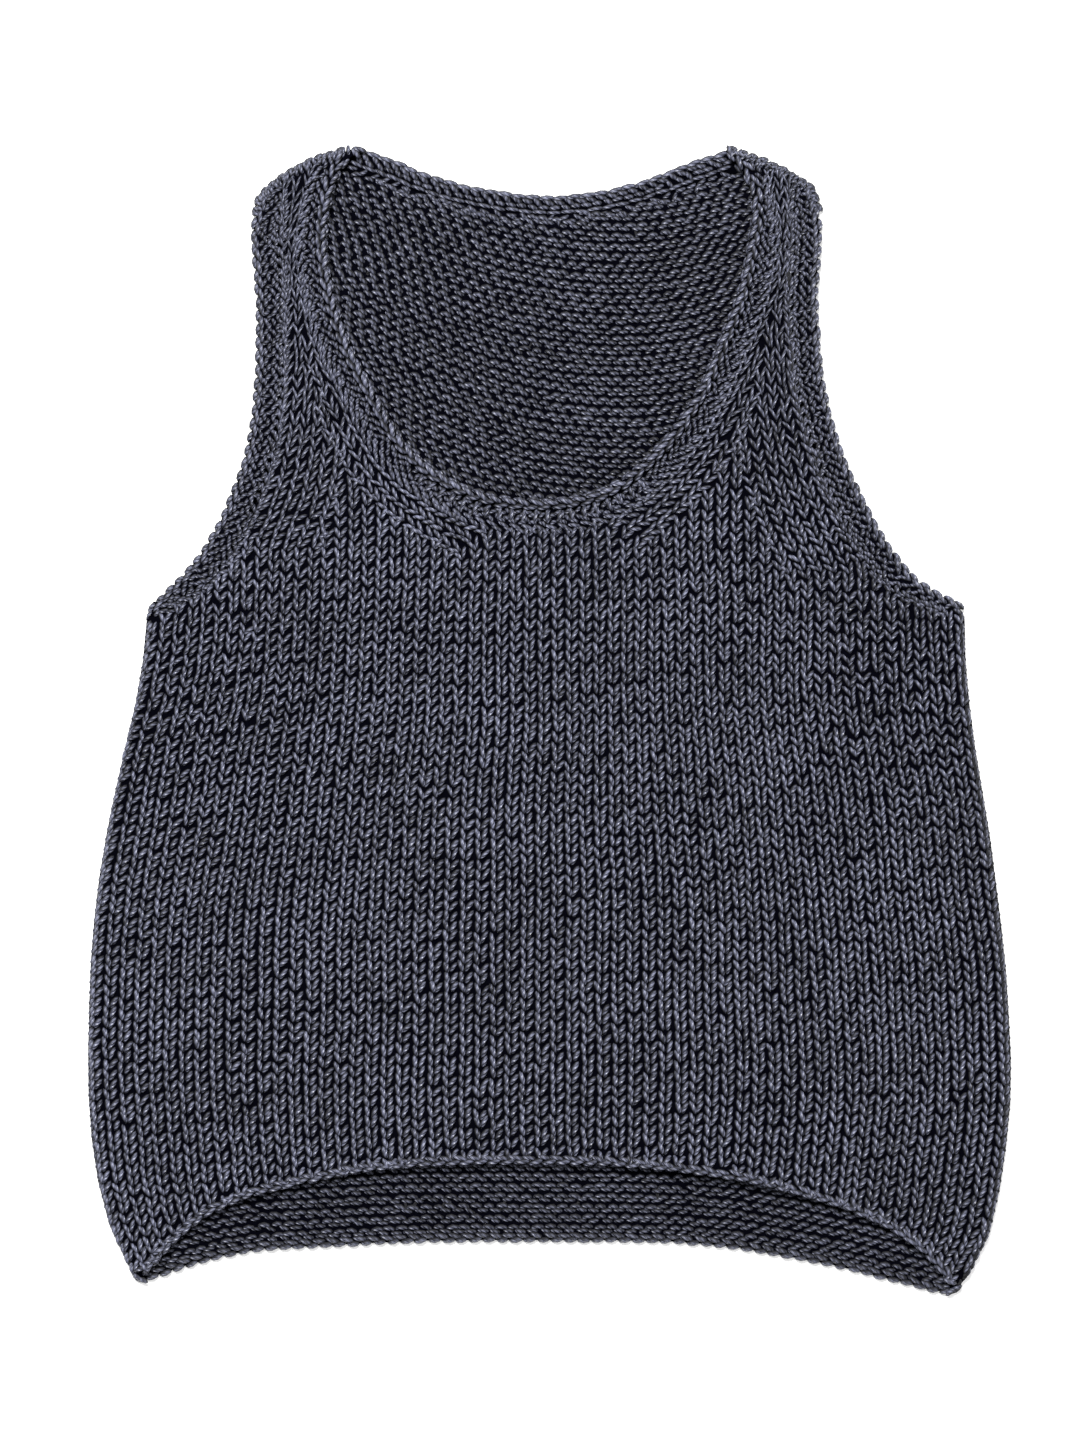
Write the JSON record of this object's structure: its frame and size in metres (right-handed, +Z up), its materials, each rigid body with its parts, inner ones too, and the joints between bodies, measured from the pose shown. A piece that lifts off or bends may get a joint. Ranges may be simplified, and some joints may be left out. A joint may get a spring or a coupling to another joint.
{
  "type": "knitted sweater vest laid flat",
  "caption": "Sleeveless hand-knit top laid flat, with a deep scooped neck, banded armholes, a flared body and an arched hem.",
  "frame": {"origin": "middle of the footprint, on the surface the vest lies on", "axes": "+X to the right of the picture, +Y from the hem to the shoulders, +Z up off the surface"},
  "size_m": [0.4622, 0.5758, 0.0101],
  "materials": {
    "knit": "slate blue-grey plied yarn with a soft gloss, knitted in stockinette",
    "knit_inside": "the same yarn seen from its purl side"
  },
  "bodies": {
    "root": {"back_panel": "knit_inside", "front_panel": "knit", "neckband": "knit", "armhole_band_left": "knit", "armhole_band_right": "knit"}
  },
  "joints": []
}
